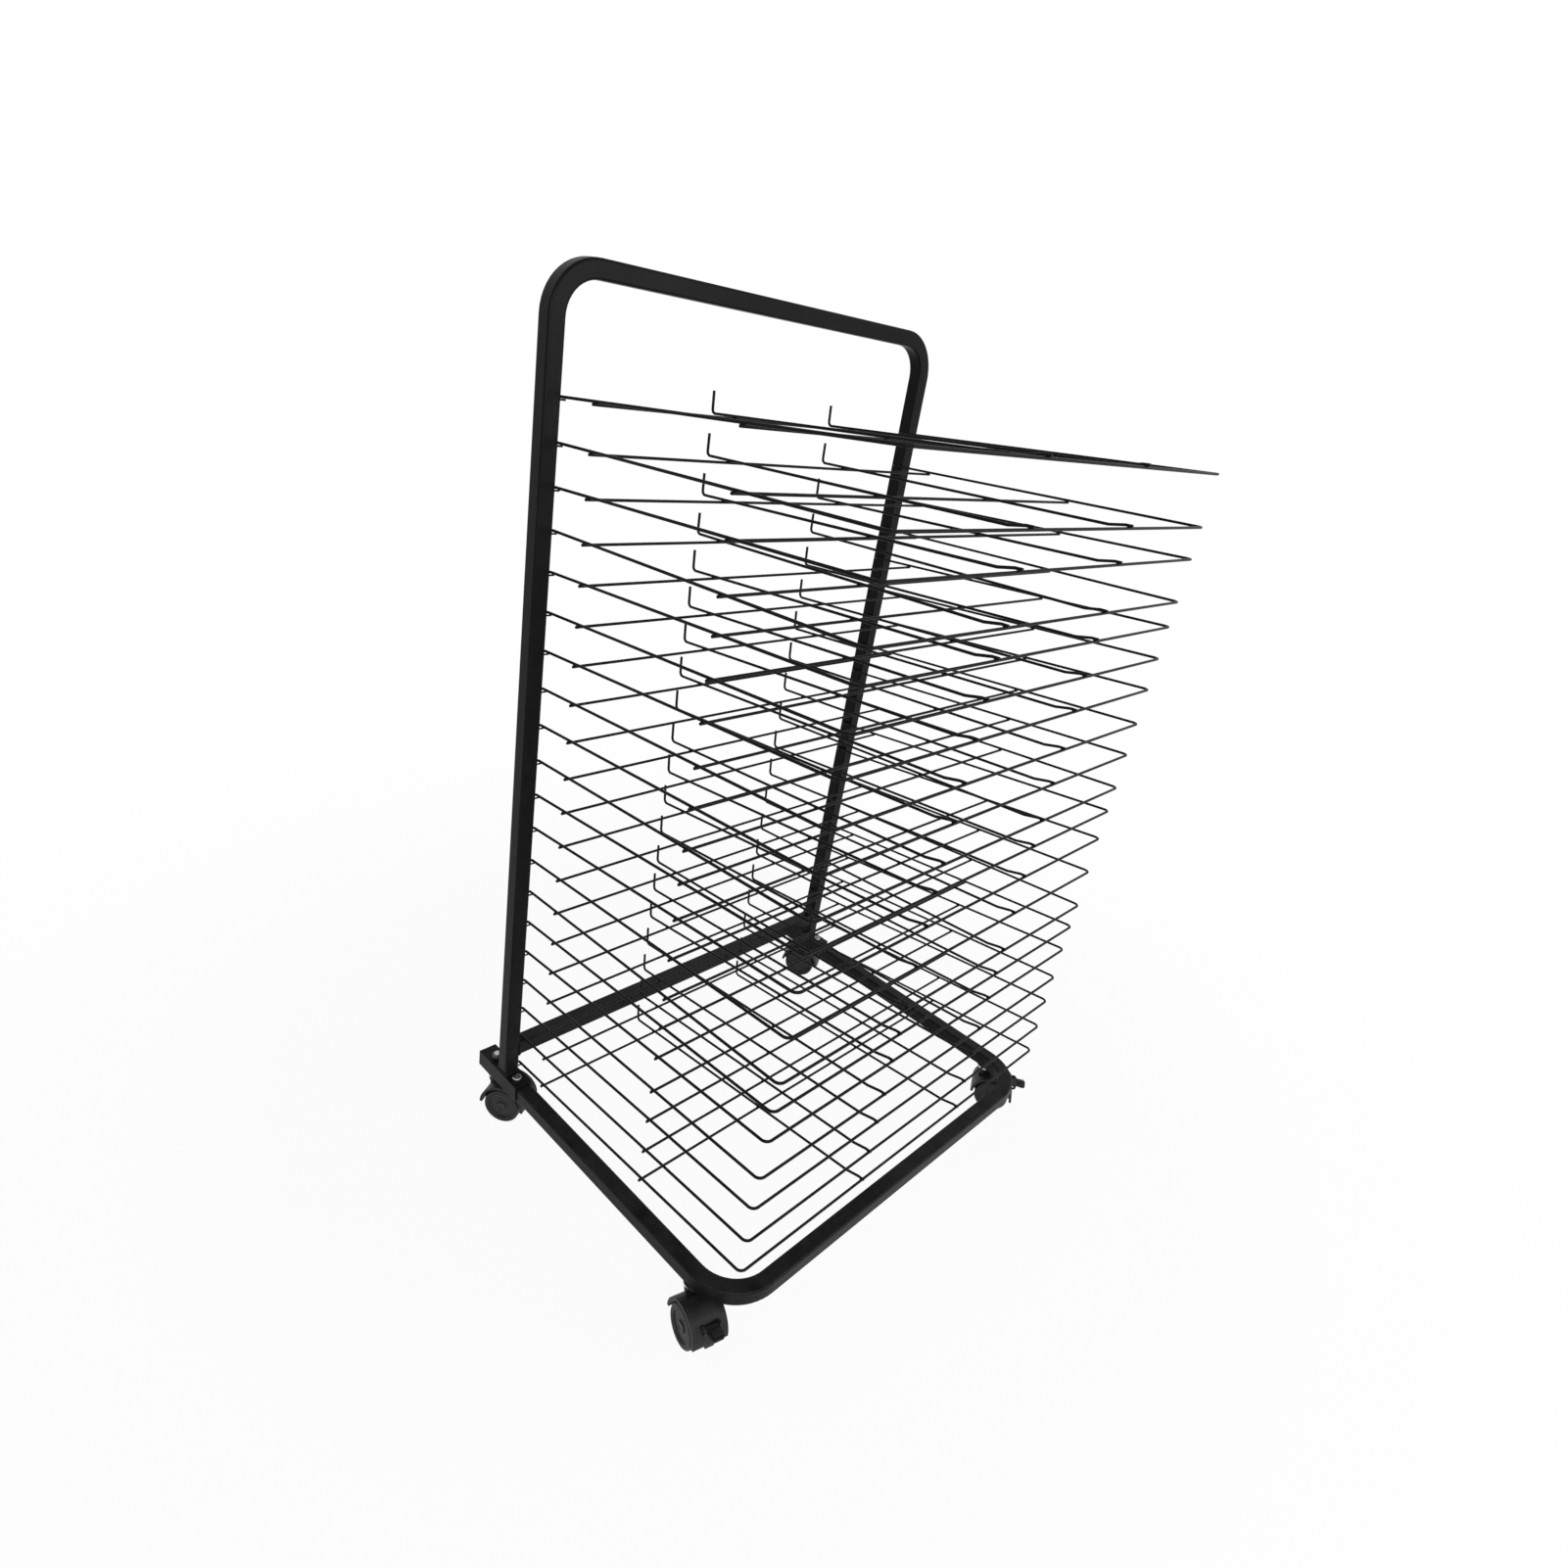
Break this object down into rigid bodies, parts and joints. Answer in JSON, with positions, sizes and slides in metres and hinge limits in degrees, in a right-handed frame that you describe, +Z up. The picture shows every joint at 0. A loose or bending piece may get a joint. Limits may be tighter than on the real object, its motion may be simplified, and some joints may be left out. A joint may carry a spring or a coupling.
{
  "type": "art drying rack",
  "caption": "Mobile art drying rack: a bent square-tube upright on a U-shaped caster base, carrying a stack of cantilevered wire shelves that lift on rear pivots",
  "frame": {"origin": "on the floor under the middle of the rack", "axes": "+X across the rack, -Y the side the shelves reach out to, +Z up"},
  "size_m": [0.6774, 0.504, 1.069],
  "materials": {
    "frame_paint": "satin black powder coat",
    "wire_paint": "satin black powder coat on welded wire",
    "fasteners": "dark plated steel",
    "bare_steel": "plain steel",
    "caster_plastic": "black moulded nylon",
    "wheel_plastic": "black moulded nylon tread"
  },
  "bodies": {
    "frame": {"upright_frame": "frame_paint", "rear_cross_bar": "frame_paint", "base_frame": "frame_paint", "left_saddle": "frame_paint", "right_saddle": "frame_paint", "saddle_bolts": "fasteners", "saddle_bolt_nuts": "fasteners", "caster_stud_nuts": "fasteners", "rail_end_caps": "caster_plastic", "shelf_rest_pins": "wire_paint", "caster_front_left_stem": "bare_steel", "caster_front_right_stem": "bare_steel", "caster_rear_left_stem": "bare_steel", "caster_rear_right_stem": "bare_steel"},
    "shelf_01": {"shelf_01": "wire_paint"},
    "shelf_02": {"shelf_02": "wire_paint"},
    "shelf_03": {"shelf_03": "wire_paint"},
    "shelf_04": {"shelf_04": "wire_paint"},
    "shelf_05": {"shelf_05": "wire_paint"},
    "shelf_06": {"shelf_06": "wire_paint"},
    "shelf_07": {"shelf_07": "wire_paint"},
    "shelf_08": {"shelf_08": "wire_paint"},
    "shelf_09": {"shelf_09": "wire_paint"},
    "shelf_10": {"shelf_10": "wire_paint"},
    "shelf_11": {"shelf_11": "wire_paint"},
    "shelf_12": {"shelf_12": "wire_paint"},
    "shelf_13": {"shelf_13": "wire_paint"},
    "shelf_14": {"shelf_14": "wire_paint"},
    "shelf_15": {"shelf_15": "wire_paint"},
    "shelf_16": {"shelf_16": "wire_paint"},
    "shelf_17": {"shelf_17": "wire_paint"},
    "shelf_18": {"shelf_18": "wire_paint"},
    "shelf_19": {"shelf_19": "wire_paint"},
    "shelf_20": {"shelf_20": "wire_paint"},
    "caster_front_left_swivel": {"caster_front_left_hood": "caster_plastic", "caster_front_left_axle": "bare_steel", "caster_front_left_pedal_pin": "bare_steel"},
    "caster_front_left_wheel_a": {"caster_front_left_wheel_a": "wheel_plastic"},
    "caster_front_left_wheel_b": {"caster_front_left_wheel_b": "wheel_plastic"},
    "caster_front_left_pedal": {"caster_front_left_pedal": "caster_plastic"},
    "caster_front_right_swivel": {"caster_front_right_hood": "caster_plastic", "caster_front_right_axle": "bare_steel", "caster_front_right_pedal_pin": "bare_steel"},
    "caster_front_right_wheel_a": {"caster_front_right_wheel_a": "wheel_plastic"},
    "caster_front_right_wheel_b": {"caster_front_right_wheel_b": "wheel_plastic"},
    "caster_front_right_pedal": {"caster_front_right_pedal": "caster_plastic"},
    "caster_rear_left_swivel": {"caster_rear_left_hood": "caster_plastic", "caster_rear_left_axle": "bare_steel"},
    "caster_rear_left_wheel_a": {"caster_rear_left_wheel_a": "wheel_plastic"},
    "caster_rear_left_wheel_b": {"caster_rear_left_wheel_b": "wheel_plastic"},
    "caster_rear_right_swivel": {"caster_rear_right_hood": "caster_plastic", "caster_rear_right_axle": "bare_steel"},
    "caster_rear_right_wheel_a": {"caster_rear_right_wheel_a": "wheel_plastic"},
    "caster_rear_right_wheel_b": {"caster_rear_right_wheel_b": "wheel_plastic"}
  },
  "joints": [
    {"name": "shelf_01_lift", "type": "hinge", "parent": "frame", "child": "shelf_01", "pos_m": [0, 0.202, 0.9377], "axis": [-1, 0, 0], "range_deg": [0, 50]},
    {"name": "shelf_02_lift", "type": "hinge", "parent": "frame", "child": "shelf_02", "pos_m": [0, 0.202, 0.8931], "axis": [-1, 0, 0], "range_deg": [0, 50]},
    {"name": "shelf_03_lift", "type": "hinge", "parent": "frame", "child": "shelf_03", "pos_m": [0, 0.202, 0.8485], "axis": [-1, 0, 0], "range_deg": [0, 50]},
    {"name": "shelf_04_lift", "type": "hinge", "parent": "frame", "child": "shelf_04", "pos_m": [0, 0.202, 0.8039], "axis": [-1, 0, 0], "range_deg": [0, 50]},
    {"name": "shelf_05_lift", "type": "hinge", "parent": "frame", "child": "shelf_05", "pos_m": [0, 0.202, 0.7593], "axis": [-1, 0, 0], "range_deg": [0, 50]},
    {"name": "shelf_06_lift", "type": "hinge", "parent": "frame", "child": "shelf_06", "pos_m": [0, 0.202, 0.7147], "axis": [-1, 0, 0], "range_deg": [0, 50]},
    {"name": "shelf_07_lift", "type": "hinge", "parent": "frame", "child": "shelf_07", "pos_m": [0, 0.202, 0.6701], "axis": [-1, 0, 0], "range_deg": [0, 50]},
    {"name": "shelf_08_lift", "type": "hinge", "parent": "frame", "child": "shelf_08", "pos_m": [0, 0.202, 0.6255], "axis": [-1, 0, 0], "range_deg": [0, 50]},
    {"name": "shelf_09_lift", "type": "hinge", "parent": "frame", "child": "shelf_09", "pos_m": [0, 0.202, 0.5809], "axis": [-1, 0, 0], "range_deg": [0, 50]},
    {"name": "shelf_10_lift", "type": "hinge", "parent": "frame", "child": "shelf_10", "pos_m": [0, 0.202, 0.5363], "axis": [-1, 0, 0], "range_deg": [0, 50]},
    {"name": "shelf_11_lift", "type": "hinge", "parent": "frame", "child": "shelf_11", "pos_m": [0, 0.202, 0.4917], "axis": [-1, 0, 0], "range_deg": [0, 50]},
    {"name": "shelf_12_lift", "type": "hinge", "parent": "frame", "child": "shelf_12", "pos_m": [0, 0.202, 0.4471], "axis": [-1, 0, 0], "range_deg": [0, 50]},
    {"name": "shelf_13_lift", "type": "hinge", "parent": "frame", "child": "shelf_13", "pos_m": [0, 0.202, 0.4025], "axis": [-1, 0, 0], "range_deg": [0, 50]},
    {"name": "shelf_14_lift", "type": "hinge", "parent": "frame", "child": "shelf_14", "pos_m": [0, 0.202, 0.3579], "axis": [-1, 0, 0], "range_deg": [0, 50]},
    {"name": "shelf_15_lift", "type": "hinge", "parent": "frame", "child": "shelf_15", "pos_m": [0, 0.202, 0.3133], "axis": [-1, 0, 0], "range_deg": [0, 50]},
    {"name": "shelf_16_lift", "type": "hinge", "parent": "frame", "child": "shelf_16", "pos_m": [0, 0.202, 0.2687], "axis": [-1, 0, 0], "range_deg": [0, 50]},
    {"name": "shelf_17_lift", "type": "hinge", "parent": "frame", "child": "shelf_17", "pos_m": [0, 0.202, 0.2241], "axis": [-1, 0, 0], "range_deg": [0, 50]},
    {"name": "shelf_18_lift", "type": "hinge", "parent": "frame", "child": "shelf_18", "pos_m": [0, 0.202, 0.1795], "axis": [-1, 0, 0], "range_deg": [0, 50]},
    {"name": "shelf_19_lift", "type": "hinge", "parent": "frame", "child": "shelf_19", "pos_m": [0, 0.202, 0.1349], "axis": [-1, 0, 0], "range_deg": [0, 50]},
    {"name": "shelf_20_lift", "type": "hinge", "parent": "frame", "child": "shelf_20", "pos_m": [0, 0.202, 0.0903], "axis": [-1, 0, 0], "range_deg": [0, 3.5]},
    {"name": "caster_front_left_turn", "type": "hinge", "parent": "frame", "child": "caster_front_left_swivel", "pos_m": [-0.3, -0.184, 0.061], "axis": [0, 0, 1], "continuous": true},
    {"name": "caster_front_left_wheel_a_roll", "type": "hinge", "parent": "caster_front_left_swivel", "child": "caster_front_left_wheel_a", "pos_m": [-0.30484, -0.20341, 0.025], "axis": [-0.9703, 0.2419, 0], "continuous": true},
    {"name": "caster_front_left_wheel_b_roll", "type": "hinge", "parent": "caster_front_left_swivel", "child": "caster_front_left_wheel_b", "pos_m": [-0.30484, -0.20341, 0.025], "axis": [-0.9703, 0.2419, 0], "continuous": true},
    {"name": "caster_front_left_pedal_press", "type": "hinge", "parent": "caster_front_left_swivel", "child": "caster_front_left_pedal", "pos_m": [-0.31162, -0.23063, 0.04692], "axis": [0.9703, -0.2419, 0], "range_deg": [0, 18]},
    {"name": "caster_front_right_turn", "type": "hinge", "parent": "frame", "child": "caster_front_right_swivel", "pos_m": [0.3, -0.184, 0.061], "axis": [0, 0, 1], "continuous": true},
    {"name": "caster_front_right_wheel_a_roll", "type": "hinge", "parent": "caster_front_right_swivel", "child": "caster_front_right_wheel_a", "pos_m": [0.30939, -0.20166, 0.025], "axis": [-0.8829, -0.4695, 0], "continuous": true},
    {"name": "caster_front_right_wheel_b_roll", "type": "hinge", "parent": "caster_front_right_swivel", "child": "caster_front_right_wheel_b", "pos_m": [0.30939, -0.20166, 0.025], "axis": [-0.8829, -0.4695, 0], "continuous": true},
    {"name": "caster_front_right_pedal_press", "type": "hinge", "parent": "caster_front_right_swivel", "child": "caster_front_right_pedal", "pos_m": [0.32256, -0.22643, 0.04692], "axis": [0.8829, 0.4695, 0], "range_deg": [0, 18]},
    {"name": "caster_rear_left_turn", "type": "hinge", "parent": "frame", "child": "caster_rear_left_swivel", "pos_m": [-0.3, 0.227, 0.061], "axis": [0, 0, 1], "continuous": true},
    {"name": "caster_rear_left_wheel_a_roll", "type": "hinge", "parent": "caster_rear_left_swivel", "child": "caster_rear_left_wheel_a", "pos_m": [-0.29, 0.20968, 0.025], "axis": [-0.866, -0.5, 0], "continuous": true},
    {"name": "caster_rear_left_wheel_b_roll", "type": "hinge", "parent": "caster_rear_left_swivel", "child": "caster_rear_left_wheel_b", "pos_m": [-0.29, 0.20968, 0.025], "axis": [-0.866, -0.5, 0], "continuous": true},
    {"name": "caster_rear_right_turn", "type": "hinge", "parent": "frame", "child": "caster_rear_right_swivel", "pos_m": [0.3, 0.227, 0.061], "axis": [0, 0, 1], "continuous": true},
    {"name": "caster_rear_right_wheel_a_roll", "type": "hinge", "parent": "caster_rear_right_swivel", "child": "caster_rear_right_wheel_a", "pos_m": [0.30939, 0.20934, 0.025], "axis": [-0.8829, -0.4695, 0], "continuous": true},
    {"name": "caster_rear_right_wheel_b_roll", "type": "hinge", "parent": "caster_rear_right_swivel", "child": "caster_rear_right_wheel_b", "pos_m": [0.30939, 0.20934, 0.025], "axis": [-0.8829, -0.4695, 0], "continuous": true}
  ],
  "couplings": [
    {"joint": "shelf_02_lift", "follows": "shelf_01_lift", "ratio": 1},
    {"joint": "shelf_03_lift", "follows": "shelf_01_lift", "ratio": 1},
    {"joint": "shelf_04_lift", "follows": "shelf_01_lift", "ratio": 1},
    {"joint": "shelf_05_lift", "follows": "shelf_01_lift", "ratio": 1},
    {"joint": "shelf_06_lift", "follows": "shelf_01_lift", "ratio": 1},
    {"joint": "shelf_07_lift", "follows": "shelf_01_lift", "ratio": 1},
    {"joint": "shelf_08_lift", "follows": "shelf_01_lift", "ratio": 1},
    {"joint": "shelf_09_lift", "follows": "shelf_01_lift", "ratio": 1},
    {"joint": "shelf_10_lift", "follows": "shelf_01_lift", "ratio": 1},
    {"joint": "shelf_11_lift", "follows": "shelf_01_lift", "ratio": 1},
    {"joint": "shelf_12_lift", "follows": "shelf_01_lift", "ratio": 1},
    {"joint": "shelf_13_lift", "follows": "shelf_01_lift", "ratio": 1},
    {"joint": "shelf_14_lift", "follows": "shelf_01_lift", "ratio": 1},
    {"joint": "shelf_15_lift", "follows": "shelf_01_lift", "ratio": 1},
    {"joint": "shelf_16_lift", "follows": "shelf_01_lift", "ratio": 1},
    {"joint": "shelf_17_lift", "follows": "shelf_01_lift", "ratio": 1},
    {"joint": "shelf_18_lift", "follows": "shelf_01_lift", "ratio": 1},
    {"joint": "shelf_19_lift", "follows": "shelf_01_lift", "ratio": 1}
  ]
}
